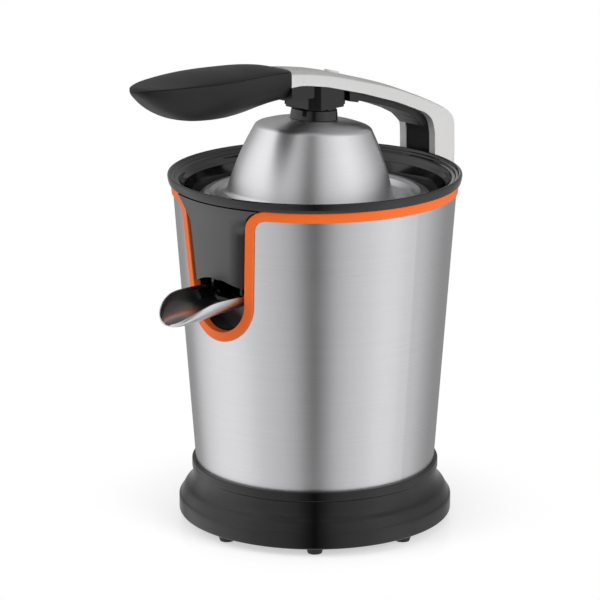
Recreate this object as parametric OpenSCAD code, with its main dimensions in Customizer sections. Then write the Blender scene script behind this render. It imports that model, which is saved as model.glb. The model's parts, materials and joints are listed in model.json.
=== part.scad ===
// Citrus press juicer. Millimetres. Z is up, the spout and the grip point to -Y,
// the arm is hinged at +Y. The origin is on the body's axis, on the floor.

/* [Body] */
// Radius of the casing at the top of the base
casing_low_r = 78.2; // [76:0.2:80]
// Radius of the casing under the trim
casing_top_r = 91.2; // [88:0.2:95]
// How far the rim stands out past the trim
rim_over = 1.3; // [0.8:0.1:3]
// Thickness of the steel casing
casing_wall = 0.8; // [0.6:0.1:1.2]
// Radius of the base flange
base_r = 89.5; // [87:0.5:94]
// Wall of the juice bowl
bowl_wall = 2.4; // [2:0.1:3]

/* [Front opening] */
// Half width of the opening at its upper end
u_top = 26; // [25.5:0.1:26.5]
// Half width of the opening at its round lower end
u_low = 22.2; // [22:0.1:22.6]
// Width of the orange strip round it
strip_w = 6.4; // [5.5:0.1:7]
// How far the trim stands out from the casing
trim_proud = 2; // [1.5:0.1:2.4]

/* [Feet] */
// Number of feet
feet_count = 8; // [4:1:10]
// How far the middle of a foot lies inside the base's edge
feet_inset = 9.5; // [8:0.5:11]
// Height of a foot
foot_h = 4.8; // [4:0.1:6]

/* [Press] */
// Lean of the dome at rest, in degrees
lean = 4; // [3:0.5:5]
// Radius of the dome at its lower edge
dome_r = 55.5; // [54.5:0.1:56]
// Thickness of the dome's sheet
dome_wall = 1.2; // [1:0.1:1.5]

/* [Arm] */
// Half width of the arm
arm_hw = 16; // [15.6:0.1:16.2]
// Half width of the channel inside it
arm_in = 10.8; // [10.4:0.1:11.2]
// Radius of the hinge pin
hinge_pin_r = 3; // [2.8:0.1:3.4]

/* [Spout] */
// Half width of the spout at its root
spout_hw = 20.5; // [19:0.1:20.8]
// Thickness of the spout's sheet
spout_wall = 1; // [0.8:0.1:1.2]

/* [Drive] */
// Module of the gears
gear_m = 1; // [1:0.1:1]
// Radius of the drive shaft
shaft_r = 4; // [3.6:0.1:4.2]
// Radius of the motor
motor_r = 26; // [22:1:27]

/* [Hidden] */
$fn = 96;

eps = 0.01;
fit = 0.05;           // radial running clearance
gap = 0.3;            // gap between pieces that only sit near each other

// heights of the body
flange_z = foot_h;
plate_t = 3;
collar_z = 39.6;
casing_z0 = 30.2;
trim_z0 = 218.3;
trim_z1 = 224.7;
casing_z1 = 224;
rim_z = 231;
collar_lip = 2.6;     // how far the base's collar stands out past the casing

// casing radius at a height
taper = (casing_top_r - casing_low_r) / (218 - 37.6);
function casing_r(z) = casing_low_r + taper * (z - 37.6);

// rim
rim_r = casing_r(trim_z1) + trim_proud + rim_over;

// base
ring_in = base_r - 18.5;
plate_r = ring_in + 2.7;
feet_ring_r = base_r - feet_inset;
collar_r = casing_low_r + collar_lip;
gland_z = 14;
gland_r = 5;

// front opening
front_y = casing_top_r + 20;
u_low_z = 163;
fillet_r = 14.5;
u_top_z = trim_z1 - fillet_r;

// spout
spout_pin = [-(casing_r(164) - 10.3), 164];
spout_pin_r = 2;

// bowl
bowl_floor_z = 161;
bowl_under_z = 158.5;
bowl_top = [casing_top_r - 6.8, 222];
bowl_low = [casing_low_r - 6, 164];
ledge_z = 207.6;
chimney_r = 9.2;
chimney_in = 6.6;
chimney_z = 195.5;
function bowl_r(z) = bowl_low[0] + (bowl_top[0] - bowl_low[0]) * (z - bowl_low[1])
    / (bowl_top[1] - bowl_low[1]);
panel_z0 = 170.5;
panel_t = 3;
arch_r = 38.2;

// arm, in Y and Z: behind the press its profiles stretch with the hinge's distance
hinge = [rim_r + 9.5, 207];
drawn_hinge_y = 104.5;
function reach(path) = [for (p = path) [p[0] > 0 ? p[0] * hinge[0] / drawn_hinge_y : p[0], p[1]]];
arm_top = reach( [[-36.7, 301.3], [-19.7, 298.8], [-2.6, 295.7], [14.7, 291.4], [28.8, 287.6],
    [43.2, 283.6],
    [57.8, 279.1], [72.3, 273.8], [87.1, 267.9], [101.9, 261.3], [109.3, 257.2], [113.8, 252.9],
    [115.6, 248.2], [115.9, 242], [115.9, 222]]);
arm_bottom = reach([[96.5, 207], [96.4, 233], [96.2, 243.5], [95, 248.8], [92.6, 254.1], [87.4, 258.7],
    [72.5, 264.9], [57.9, 270.5], [43, 275.2], [28.8, 279.7], [11.3, 284.4], [-2.6, 288.1],
    [-12.9, 290.2], [-26.5, 292.4], [-36.7, 292.5]]);
cover_screw = reach([[60, 270.8], [103, 236]]);
cover_screw_r = 1.5;
leg_end_r = 8;
knuckle_r = 7;
bracket_hw = arm_hw + 5;
bracket_screw_z = [163, 184];
crown = 2.3;
joint_cut_r = 25.3;
joint_cut_y = -56.3;

// press
pivot_z = 279;
press_pin_r = 2.2;
collar_hw = 16;
collar_chamfer = 5.75;
collar_z0 = 274;
dome_z = 266;
dome_low = 215.2;
neck_top_z = dome_z + 6.5;
stem_r = 9;
collar_bore_r = 11;

// grip sections: y, top, crease, bottom, half width
grip = [[-154.3, 304.6, 303.8, 303.1, 2.6], [-152.8, 305.2, 304.4, 301, 5.6],
    [-149.4, 305.8, 304.9, 297.9, 9.1],
    [-143.9, 306, 305.2, 293.3, 12.6], [-136.4, 306.2, 305.4, 288.4, 16.2],
        [-126.2, 306.8, 305.4, 283.8, 19.6],
    [-114.1, 307.8, 305.2, 280.9, 22.5], [-101, 308.5, 305, 279.5, 24], [-88, 308.8, 304.7, 279.1, 23.6],
    [-74, 308.6, 304.3, 279.8, 21.6], [-60, 308, 303.7, 281.4, 19], [-47, 306.3, 302.9, 282.6, 16.9],
    [-36.7, 303.8, 301.8, 283.1, 16], [-26, 300.9, 299.6, 283.6, 15.8]];

// the origin is under the middle of the footprint, and the body's axis stands behind it
arm_back = arm_top[len(arm_top) - 2][0] + crown;
axis_y = (-grip[0][0] - arm_back) / 2;
crease_gap = 0.4;

// drive
shaft_z0 = 103;
shaft_z1 = 213;
plate_z = 116;
deck_z = 120;
boss_z = 122.2;
cover_z = 158.2;
press_travel = 2.5;
out_teeth = 48;
idler_small = 16;
idler_big = 48;
pinion_teeth = 14;
idler_y = gear_m * (out_teeth + idler_small) / 2;
motor_x = gear_m * (idler_big + pinion_teeth) / 2;
post_r = plate_r - 9.7;
post_angles = [100, 190, 280, 350];
screw_angles = [10, 170, 235, 305];

// --- helpers ---

// solid through a list of sections with equal numbers of points, each anticlockwise
// when seen along the way the sections advance
module loft(secs) {
    n = len(secs[0]);
    m = len(secs);
    pts = [for (s = secs) each s];
    faces = concat(
        [[for (i = [n - 1 : -1 : 0]) i]],
        [for (j = [0 : m - 2], i = [0 : n - 1]) [j * n + i, j * n + (i + 1) % n, (j + 1) * n + i]],
        [for (j = [0 : m - 2], i = [0 : n - 1])
            [j * n + (i + 1) % n, (j + 1) * n + (i + 1) % n, (j + 1) * n + i]],
        [[for (i = [0 : n - 1]) (m - 1) * n + i]]);
    polyhedron(pts, faces, convexity = 8);
}

// side profile in Y and Z, given thickness from x0 to x1
module side_slab(x0, x1) {
    translate([x0, 0, 0]) rotate([90, 0, 90]) linear_extrude(x1 - x0) children();
}

// front pattern in X and Z, pushed from y0 to y1
module front_slab(y0, y1) {
    translate([0, y1, 0]) rotate([90, 0, 0]) linear_extrude(y1 - y0) children();
}

module x_cylinder(r, x0, x1, y, z) {
    translate([x0, y, z]) rotate([0, 90, 0]) cylinder(r = r, h = x1 - x0);
}

module tube(r_out, r_in, z0, z1) {
    translate([0, 0, z0]) difference() {
        cylinder(r = r_out, h = z1 - z0);
        translate([0, 0, -1]) cylinder(r = r_in, h = z1 - z0 + 2);
    }
}

// solid cone that follows the casing at a distance d from its outer face
module casing_cone(d, z0, z1) {
    translate([0, 0, z0]) cylinder(r1 = casing_r(z0) + d, r2 = casing_r(z1) + d, h = z1 - z0, $fn = 180);
}

module casing_shell(d_in, d_out, z0, z1) {
    difference() {
        casing_cone(d_out, z0, z1);
        casing_cone(d_in, z0 - 1, z1 + 1);
    }
}

// the opening's outline, grown by g; it widens into round shoulders at the top
module u_shape(g, top = 240) {
    low = u_low + g;
    wide = u_top + g;
    r = fillet_r - g;
    translate([0, u_low_z]) circle(r = low);
    polygon([[-low, u_low_z], [low, u_low_z], [wide, u_top_z], [wide, top], [-wide, top],
        [-wide, u_top_z]]);
    for (s = [-1, 1]) {
        difference() {
            translate([s * (wide + r / 2), u_top_z + r / 2]) square([r, r], center = true);
            translate([s * (wide + r), u_top_z]) circle(r = r);
        }
        translate([s * (wide + r / 2), (u_top_z + r + top) / 2]) square([r, top - u_top_z - r],
            center = true);
    }
}

// involute gear from z0 upwards, one tooth on +X
module spur(teeth, z0, h) {
    slack = 0.14;
    rp = gear_m * teeth / 2;
    rb = rp * cos(20);
    ra = rp + 0.8 * gear_m;
    rf = rp - 1.05 * gear_m;
    rs = max(rb, rf);
    half = 90 / teeth + (tan(20) * 180 / PI - 20) - slack / rp * 90 / PI;
    flank = [for (i = [0 : 4]) let (r = rs + (ra - rs) * i / 4, a = acos(min(1, rb / r))) [r,
        tan(a) * 180 / PI - a]];
    outline = [for (k = [0 : teeth - 1]) let (c = 360 * k / teeth) each concat(
        [[rf * cos(c - half), rf * sin(c - half)]],
        [for (f = flank) [f[0] * cos(c - half + f[1]), f[0] * sin(c - half + f[1])]],
        [for (i = [4 : -1 : 0]) let (f = flank[i]) [f[0] * cos(c + half - f[1]),
            f[0] * sin(c + half - f[1])]],
        [[rf * cos(c + half), rf * sin(c + half)]])];
    translate([0, 0, z0]) linear_extrude(h) polygon(outline);
}

// coil round the Z axis
module coil(r, wire, z0, z1, turns) {
    steps = turns * 16;
    loft([for (i = [0 : steps])
        let (a = 360 * turns * i / steps, z = z0 + wire + (z1 - z0 - 2 * wire) * i / steps)
        [for (k = [0 : 5]) let (b = 60 * k)
            [(r + wire * cos(b)) * cos(a), (r + wire * cos(b)) * sin(a), z + wire * sin(b)]]]);
}

module screw(r, len, head_r, head_h) {
    translate([0, 0, -len]) cylinder(r = r, h = len + eps, $fn = 24);
    difference() {
        cylinder(r = head_r, h = head_h, $fn = 32);
        for (a = [0, 90]) rotate(a) translate([-head_r * 0.6, -0.4,
            head_h - 0.8]) cube([head_r * 1.2, 0.8, 2]);
    }
}

// the dome and its neck lean about their pin
module press_pose() {
    translate([0, 0, pivot_z]) rotate([-lean, 0, 0]) translate([0, 0, -pivot_z]) children();
}

module at_posts() {
    for (a = post_angles) rotate(a) translate([post_r, 0, 0]) children();
}

// --- body ---

module base_ring() color("#201e22") {
    difference() {
        rotate_extrude($fn = 180) polygon(concat(
            [[plate_r + gap, flange_z], [base_r - 0.7, flange_z], [base_r, flange_z + 0.7], [base_r, 14.2]],
            // shoulder, from the flange in to the collar
            [for (s = [[0.032, 16.8], [0.15, 18.4], [0.43, 21.2], [0.73, 24], [0.925, 27.3], [1, 31]])
                [base_r - s[0] * (base_r - collar_r + 0.6), s[1]]],
            [[collar_r - 0.6, 33.3], [collar_r, 34], [collar_r, 38.4], [collar_r - 0.4, 39.3],
            [collar_r - 1, collar_z], [casing_low_r + 0.35, collar_z], [casing_low_r + 0.35, 30],
            [casing_low_r - 3.2, 30], [casing_low_r - 4.2, 27], [ring_in, 24],
            [ring_in, flange_z + plate_t + 0.2], [plate_r + gap, flange_z + plate_t + 0.2]]));
        translate([0, ring_in - 1, gland_z]) rotate([-90, 0, 0]) cylinder(r = gland_r, h = 30);
    }
}

module bottom_plate() color("#2a2a2c") {
    difference() {
        translate([0, 0, flange_z + 0.2]) cylinder(r = plate_r, h = plate_t);
        at_posts() cylinder(r = 1.8, h = 30, $fn = 24);
        at_posts() cylinder(r = 3.6, h = flange_z + 1.4, $fn = 32);
        for (a = [20 : 40 : 340]) rotate(a) translate([30, -1.5, 0]) cube([18, 3, 20]);
    }
}

module feet() color("#1c1c1e") {
    for (k = [0 : feet_count - 1]) rotate(360 * k / feet_count) translate([feet_ring_r, 0, 0])
        cylinder(r1 = 4.6, r2 = 6, h = foot_h, $fn = 48);
}

module base_screws() color("#9a9a9c") {
    at_posts() translate([0, 0, flange_z + 1.4]) rotate([180, 0, 0]) screw(1.5, 10, 3.2, 1.1);
}

module cord_gland() color("#1c1c1e") {
    translate([0, 0, gland_z]) rotate([-90, 0, 0]) difference() {
        union() {
            translate([0, 0, ring_in - 1.5]) cylinder(r = gland_r + 0.7, h = 1.2);
            translate([0, 0, ring_in - 1.5]) cylinder(r = gland_r - fit, h = base_r - ring_in + 2.5);
            translate([0, 0, base_r + 0.2]) cylinder(r1 = gland_r + 1.2, r2 = gland_r - 0.4, h = 3);
        }
        translate([0, 0, ring_in - 10]) cylinder(r = 3, h = 40);
    }
}

module casing() color("#b9b9bb") {
    difference() {
        casing_shell(-casing_wall, 0, casing_z0, casing_z1);
        front_slab(-front_y, -60) u_shape(1.5);
    }
}

module trim() color("#eb6f31") {
    // band and strip
    difference() {
        union() {
            casing_shell(0.05, trim_proud, trim_z0, trim_z1 - 0.8);
            rotate_extrude($fn = 180) polygon([[casing_r(trim_z1) - 3, casing_z1 + eps],
                [casing_r(trim_z1) + 0.05, casing_z1 + eps], [casing_r(trim_z1) + 0.05, 223],
                [casing_r(223) + trim_proud, 223], [casing_r(223.9) + trim_proud, 223.9],
                [casing_r(trim_z1 - 0.8) + trim_proud - 0.4, trim_z1], [casing_r(trim_z1) - 3, trim_z1]]);
            intersection() {
                casing_shell(0.05, trim_proud, 120, trim_z0 + 1);
                front_slab(-front_y, -60) u_shape(strip_w, trim_z0 + 2);
            }
        }
        front_slab(-front_y, -50) u_shape(0);
    }
    // lip that turns inwards round the opening
    intersection() {
        casing_shell(-3.6, trim_proud - 0.3, 120, trim_z0 + 2);
        front_slab(-front_y, -60) difference() {
            u_shape(1.35, trim_z0 + 2);
            u_shape(0);
        }
    }
}

module recess_liner() color("#1a181b") {
    intersection() {
        casing_cone(-4, 120, 158);
        difference() {
            front_slab(-front_y, -(casing_r(140) - 17.6)) u_shape(2.4);
            front_slab(-front_y - 1, -(casing_r(140) - 15.6)) u_shape(0.8);
        }
    }
}

module chassis() color("#303034") {
    difference() {
        union() {
            translate([0, 0, plate_z]) cylinder(r = post_r + 6, h = deck_z - plate_z);
            at_posts() translate([0, 0, flange_z + plate_t + 0.2]) cylinder(r = 5,
                h = plate_z - flange_z - plate_t);
            translate([0, 0, 80]) cylinder(r = 10.6, h = plate_z - 80 + eps);
            translate([0, 0, deck_z - eps]) cylinder(r = 9, h = boss_z - deck_z + eps);
            for (a = screw_angles) rotate(a) translate([56, 0, deck_z - eps]) cylinder(r = 4, h = 33.8);
        }
        translate([0, 0, 84]) cylinder(r = 8.4, h = 30);
        translate([-12, -2.4, 103.4]) cube([6, 4.8, 4.2]);
        translate([0, 0, 100]) cylinder(r = 6, h = 40);
        translate([motor_x, idler_y, plate_z - 1]) cylinder(r = 9, h = 10);
        translate([0, idler_y, plate_z - 1]) cylinder(r = 2.5, h = 10);
        for (s = [-1, 1]) translate([motor_x + s * 15, idler_y, plate_z - 1]) cylinder(r = 1.7,
            h = 10, $fn = 24);
        at_posts() translate([0, 0, 1]) cylinder(r = 1.5, h = 18, $fn = 24);
        for (a = screw_angles) rotate(a) translate([56, 0, 140]) cylinder(r = 1.5, h = 20, $fn = 24);
    }
}

module gear_cover() color("#38383c") {
    difference() {
        union() {
            tube(62, 60, deck_z, cover_z);
            tube(61, 9, 153.8, cover_z);
            tube(12, 7, 148, cover_z);
        }
        for (a = screw_angles) rotate(a) translate([56, 0, 150]) {
            cylinder(r = 1.8, h = 20, $fn = 24);
            translate([0, 0, 5.9]) cylinder(r = 3.8, h = 20, $fn = 32);
        }
        translate([0, idler_y, 150]) cylinder(r = 2.5, h = 6);
    }
}

module cover_screws() color("#9a9a9c") {
    for (a = screw_angles) rotate(a) translate([56, 0, 155.9]) screw(1.5, 10, 3.2, 2);
}

module lower_bush() color("#b08a4a") tube(6, shaft_r + fit, plate_z, boss_z);

module upper_bush() color("#b08a4a") tube(7, shaft_r + fit, 148, 157);

module shaft_seal() color("#1c1c1e") tube(6.6, shaft_r + fit, 190, chimney_z - 0.5);

module motor_can() color("#8e8e92") {
    translate([motor_x, idler_y, 0]) difference() {
        union() {
            tube(motor_r, motor_r - 2, 50, 112);
            translate([0, 0, 110]) cylinder(r = motor_r - 1, h = plate_z - 110);
            translate([0, 0, 113]) cylinder(r = 8.6, h = 6);
        }
        translate([0, 0, 100]) cylinder(r = 2.5 + fit, h = 30);
        for (s = [-1, 1]) translate([s * 15, 0, 105]) cylinder(r = 1.5, h = 20, $fn = 24);
    }
}

module motor_end_cap() color("#202022") {
    translate([motor_x, idler_y, 0]) {
        difference() {
            translate([0, 0, 44]) cylinder(r = motor_r, h = 6);
            translate([0, 0, 46]) cylinder(r = 2.5 + fit, h = 10);
        }
    }
}

module motor_screws() color("#9a9a9c") {
    for (s = [-1, 1]) translate([motor_x + s * 15, idler_y, deck_z]) screw(1.5, 9, 3, 1.6);
}

module idler_axle() color("#a0a0a4") translate([0, idler_y, plate_z]) cylinder(r = 2.5, h = 40);

module microswitch() color("#1d1d20") {
    translate([-22, -12, 102]) cube([8, 20, 13.9]);
    translate([-14.2, -2, 104]) cube([5.8, 4, 3]);
}

module bowl() color("#232126") {
    r0 = bowl_low[0];
    difference() {
        union() {
            rotate_extrude($fn = 180) polygon([[chimney_in, bowl_under_z], [r0 + 1.2, bowl_under_z],
                [bowl_r(161) + bowl_wall, 160.4], [bowl_top[0] + bowl_wall, bowl_top[1]], bowl_top,
                [bowl_r(ledge_z), ledge_z], [bowl_r(ledge_z) - 3, ledge_z], [bowl_r(201), 201], bowl_low,
                [r0 - 1.7, 161.6], [r0 - 4.2, bowl_floor_z], [chimney_r, bowl_floor_z],
                [chimney_r, chimney_z], [chimney_in, chimney_z]]);
            // chute
            front_slab(spout_pin[0] - 1.5, -(r0 - 1.7)) polygon([[-9, bowl_under_z], [9, bowl_under_z],
                [14, bowl_under_z + 5], [14, 174], [-14, 174], [-14, bowl_under_z + 5]]);
            // lugs of the spout
            for (s = [-1, 1]) translate([s * (spout_hw + 1.95) - 1.1, spout_pin[0] - 3, bowl_under_z + 0.5])
                cube([2.2, -(r0 - 2.2) - spout_pin[0] + 3, 13]);
        }
        // way out of the bowl
        front_slab(spout_pin[0] - 10, -(r0 - 4.2)) polygon([[-8, bowl_floor_z], [8, bowl_floor_z],
            [12, bowl_floor_z + 4], [12, 171.5], [-12, 171.5], [-12, bowl_floor_z + 4]]);
        x_cylinder(spout_pin_r + fit, -30, 30, spout_pin[0], spout_pin[1]);
        // nothing of the lugs, chute and bore reaches into the bowl
        translate([0, 0, bowl_floor_z + eps])
            cylinder(r1 = bowl_r(bowl_floor_z), r2 = bowl_r(180), h = 19, $fn = 180);
    }
    tube(chimney_r, chimney_in, bowl_under_z, chimney_z);
    translate([0, 0, bowl_under_z]) difference() {
        cylinder(r = r0 - 1.2, h = bowl_floor_z - bowl_under_z + 0.1);
        translate([0, 0, -1]) cylinder(r = chimney_in, h = 9);
    }
}

// ring on top of the bowl, with the front panel that closes the opening above the spout
module rim() color("#232126") {
    rotate_extrude($fn = 180) polygon([bowl_top, [bowl_top[0] + bowl_wall, bowl_top[1]],
        [rim_r - 7.2, trim_z1],
        [rim_r - 1, trim_z1], [rim_r - 0.3, 227.6], [rim_r, 229.6], [rim_r - 0.2, 230.5],
            [rim_r - 0.9, rim_z],
        [rim_r - 1.8, rim_z], [rim_r - 2.5, 230.4], [rim_r - 2.8, 229.3], [rim_r - 4.3, 229],
        [rim_r - 4.9, 227.9], [rim_r - 6.8, 227.5], [rim_r - 7.8, 226.4], [rim_r - 8.6, 224.6]]);
    // the ring sweeps down into the panel
    intersection() {
        union() {
            rotate_extrude($fn = 180) polygon([[casing_r(209) - 3, 209], [casing_r(209) - 1.5, 209],
                [casing_r(215) - 0.3, 215], [casing_r(220) + 0.9, 220], [rim_r - 1.9, 223],
                [rim_r - 1.6, trim_z1 + 0.5], [rim_r - 6.5, trim_z1 + 0.5]]);
            casing_shell(-0.6 - panel_t, -0.6, panel_z0 - 10, trim_z1 + 1.3);
        }
        front_slab(-front_y, -60) difference() {
            u_shape(-0.45, rim_z);
            translate([-60, 0]) square([120, panel_z0]);
            translate([0, panel_z0 + 5.5 - arch_r]) circle(r = arch_r);
        }
    }
}

// radii of the filter: seat on the bowl's ledge, crest, and top and foot of its dished wall
filter_r = bowl_r(ledge_z) - 0.47;
dish_r = dome_r + 9.5;
crest_r = dish_r + 4.6;
well_r = dome_r + 1.5;
screen_z = 199.2;
screen_t = 0.8;

module filter() color("#c4c4c6") {
    rotate_extrude($fn = 180) polygon([[filter_r, ledge_z], [filter_r, ledge_z + 0.9],
        [filter_r - 1.3, ledge_z + 1.2], [crest_r + 7, 213.2], [crest_r + 4.4, 216.2],
        [crest_r + 1.6, 217.7], [crest_r - 1.4, 217.9], [dish_r, 216.6], [dish_r - 1.6, 214.4],
        [dish_r - 2.2, 213], [well_r + 3.4, 202.6], [well_r + 1.6, screen_z + 1.2],
        [well_r, screen_z + screen_t], [well_r, screen_z], [well_r - 4, screen_z],
        [well_r - 4, screen_z - 0.8], [well_r + 0.2, screen_z - 0.8], [well_r + 2.3, screen_z - 0.1],
        [well_r + 4.2, 202.4], [dish_r - 1.3, 212.6], [dish_r - 0.7, 214], [dish_r + 0.6, 215.9],
        [crest_r - 1.2, 217.1], [crest_r + 1.3, 216.9], [crest_r + 3.9, 215.5], [crest_r + 6.2, 212.8],
        [filter_r - 1.5, ledge_z]]);
}

module filter_screen() color("#c4c4c6") {
    difference() {
        union() {
            tube(well_r - 0.1, chimney_r + 2.2, screen_z, screen_z + screen_t);
            tube(chimney_r + 3, chimney_r + 2.2, screen_z - 2.2, screen_z + screen_t);
        }
        for (ring = [[20, 8], [32, 9], [45, 9]], a = [0 : 15 : 345])
            rotate(a) translate([ring[0], -0.7, 195]) cube([ring[1], 1.4, 10]);
    }
}

// --- hinge ---

module hinge_bracket() color("#232126") {
    difference() {
        side_slab(-bracket_hw, bracket_hw) {
            polygon([[70, 152], [casing_r(152) + 4, 152], [casing_r(156) + 7.3, 156], [hinge[0] - 1.5, 182],
                [hinge[0] + 5, 197], [hinge[0] + knuckle_r, hinge[1]], [hinge[0], hinge[1] + knuckle_r],
                [70, hinge[1] + knuckle_r]]);
            translate(hinge) circle(r = knuckle_r);
        }
        casing_cone(0.02, 100, 230);
        side_slab(-arm_hw - 0.6, arm_hw + 0.6) translate([60, hinge[1] - 12.5]) square([100, 40]);
        x_cylinder(hinge_pin_r, -30, 30, hinge[0], hinge[1]);
        for (z = bracket_screw_z) translate([0, 0, z]) rotate([-90, 0, 0]) {
            cylinder(r = 1.7, h = 130, $fn = 24);
            translate([0, 0, casing_r(z) + 6]) cylinder(r = 3.6, h = 40, $fn = 32);
        }
    }
}

module bracket_screws() color("#8a8a8e") {
    for (z = bracket_screw_z) translate([0, casing_r(z) + 6, z]) rotate([-90, 0, 0]) screw(1.6, 5.9,
        3.2, 1.8);
}

module hinge_pin() color("#a0a0a4") {
    x_cylinder(hinge_pin_r, -bracket_hw, bracket_hw, hinge[0], hinge[1]);
}

// --- arm ---

function unit(v) = v / norm(v);
function turn(v) = [-v[1], v[0]];
function path_n(p, i) = turn(unit((i == 0 ? p[1] : p[min(i + 1, len(p) - 1)]) - (i == 0
    ? p[0] : p[i - 1])));

module arm_crown() {
    loft([for (i = [0 : len(arm_top) - 1])
        let (p = arm_top[i], n = path_n(arm_top, i), c = i == len(arm_top) - 1 ? 0.2 : crown)
        [for (q = [[arm_hw, -2], [arm_hw, 0], [12.5, 0.5 * c], [8.5, 0.8 * c], [4, c], [-4, c],
            [-8.5, 0.8 * c], [-12.5, 0.5 * c], [-arm_hw, 0], [-arm_hw, -2]])
            [q[0], p[0] + n[0] * q[1], p[1] + n[1] * q[1]]]]);
}

module joint_cut(grow) {
    translate([0, joint_cut_y, 250]) cylinder(r = joint_cut_r + grow, h = 80);
}

module arm_shell() color("#cfcfd1") {
    difference() {
        union() {
            side_slab(-arm_hw, arm_hw) polygon(concat(arm_top,
                [[hinge[0] + leg_end_r, hinge[1]]], arm_bottom));
            x_cylinder(leg_end_r, -arm_hw, arm_hw, hinge[0], hinge[1]);
            arm_crown();
        }
        side_slab(-arm_in, arm_in) polygon(reach([[-60, 296.8], [-19.7, 294.6], [-2.6, 291.5],
            [14.7, 287.2],
            [28.8, 283.4], [43.2, 279.4], [57.8, 274.9], [72.3, 269.6], [87.1, 263.7], [101.9, 257.1],
            [108, 253], [111.6, 247.5], [111.9, 230], [111.9, 190], [60, 190], [60, 240], [-60, 240]]));
        x_cylinder(hinge_pin_r + fit, -30, 30, hinge[0], hinge[1]);
        joint_cut(gap);
        button_shape(gap, 280, 310);
    }
}

module arm_under_cover() color("#1e1c20") {
    difference() {
        union() {
            side_slab(-arm_in + 0.2, arm_in - 0.2) polygon(reach([[-36, 283.3], [-17, 283.1],
                [-16, 280.6], [0, 280], [17, 277],
                [35, 272.9], [49, 269], [60, 265.4], [72, 260.9], [82, 256], [86.5, 252.2], [90, 248.8],
                [93.4, 249.4], [93, 253.4], [87.1, 260.9], [72.3, 267.8], [57.8, 273.2], [43.2, 277.7],
                [28.8, 282.2], [14.7, 286.6], [-2.6, 290.9], [-19.7, 294], [-36, 295.6]]));
            side_slab(-15.6, 15.6) polygon([[-35.8, 283.4], [-16.1, 283.2], [-16.1, 290.5],
                [-26.5, 292.1], [-35.8, 292.1]]);
            side_slab(-15.6, 15.6) polygon([[16.1, 276.4], [24, 274.6], [24, 280.6], [16.1, 282.8]]);
            // tongue inside the grip
            translate([-8, -112, 286]) cube([16, 80, 9]);
        }
        side_slab(-collar_hw - 0.1, collar_hw + 0.1) polygon([[-16.1, 270], [16.1, 270],
            [16.1, 280], [-16.1, 283.5]]);
        translate([0, 0, 270]) cylinder(r = collar_bore_r, h = 14.6);
        button_shape(gap, 283.3, 300);
        x_cylinder(cover_screw_r, -30, 30, cover_screw[0][0], cover_screw[0][1]);
    }
}

module leg_insert() color("#1e1c20") {
    difference() {
        side_slab(-arm_in + 0.2, arm_in - 0.2) polygon(reach([[97.4, 214], [97.2, 243.5], [95.8, 249.5],
            [94.6, 252.4], [97.6, 255.4], [103, 255], [107, 252], [110, 247], [110.4, 230], [110.4, 217]]));
        x_cylinder(cover_screw_r, -30, 30, cover_screw[1][0], cover_screw[1][1]);
    }
}

module cover_joint_screws() color("#8a8a8e") {
    for (c = cover_screw) x_cylinder(cover_screw_r - fit, -arm_in, arm_in, c[0], c[1]);
}

module collar_plan(grow) {
    a = collar_hw + grow;
    b = a - collar_chamfer;
    polygon([[a, -b], [a, b], [b, a], [-b, a], [-a, b], [-a, -b], [-b, -a], [b, -a]]);
}

module collar() color("#2b292d") {
    difference() {
        union() {
            intersection() {
                translate([0, 0, 270]) linear_extrude(30) collar_plan(0);
                side_slab(-20, 20) polygon([[-16, collar_z0 + 0.8], [-15.2, collar_z0], [15.2, collar_z0],
                    [16, collar_z0 + 0.8], [16, 282.8], [11.3, 284.1], [-2.6, 287.8],
                        [-12.9, 289.9], [-16, 290.4]]);
            }
            for (a = [45 : 90 : 315], s = [-1, 1]) rotate(a)
                translate([18.4, s * 1.5 - 0.45, collar_z0 + 1.2]) cube([0.9, 0.9, 7.4]);
        }
        translate([0, 0, 260]) cylinder(r = collar_bore_r, h = 40);
        side_slab(-arm_in, arm_in) polygon([[-17, 283.6], [17, 279.9], [17, 300], [-17, 300]]);
        x_cylinder(press_pin_r, -14.6, 14.6, 0, pivot_z);
    }
}

module press_pin() color("#a0a0a4") x_cylinder(press_pin_r, -14.6, 14.6, 0, pivot_z);

// grip: upper and lower half meet at the crease
module grip_half(up) {
    loft([for (g = grip) let (mid = g[2] + (up ? crease_gap / 2 : -crease_gap / 2), far = up ? g[1] : g[3])
        [for (k = [0 : 10]) let (a = 18 * k, e = up ? 1.1 : 0.8, c = cos(a) * (up
            ? 1 : -1), s = max(sin(a), 0))
            [g[4] * sign(c) * pow(abs(c), e), g[0], mid + (far - mid) * pow(s, e)]]]);
}

module grip_end() {
    translate([-40, -170, 260]) cube([80, 170 - 36.7 - gap, 60]);
    joint_cut(-gap);
}

module grip_top() color("#242326") intersection() {
    grip_half(true);
    grip_end();
}

module grip_bottom() color("#242326") difference() {
    intersection() {
        grip_half(false);
        translate([-40, -170, 260]) cube([80, 170 - 36.2, 60]);
    }
    translate([-8.2, -112.2, 285.8]) cube([16.4, 90, 9.4]);
}

module button_shape(grow, z0, z1) {
    for (y = [13.4, 16.9]) translate([0, y, z0]) cylinder(r = 3.5 + grow, h = z1 - z0, $fn = 48);
    translate([-3.5 - grow, 13.4, z0]) cube([7 + 2 * grow, 3.5, z1 - z0]);
}

module arm_button() color("#bdbdbf") {
    difference() {
        button_shape(0, 286.8, 300);
        side_slab(-10, 10) polygon([[0, 298.9], [30, 290.9], [30, 310], [0, 310]]);
    }
}

module button_spring() color("#8a8a8e") translate([0, 15, 0]) coil(2, 0.3, 283.4, 286.8, 3);

// --- press ---

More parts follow.
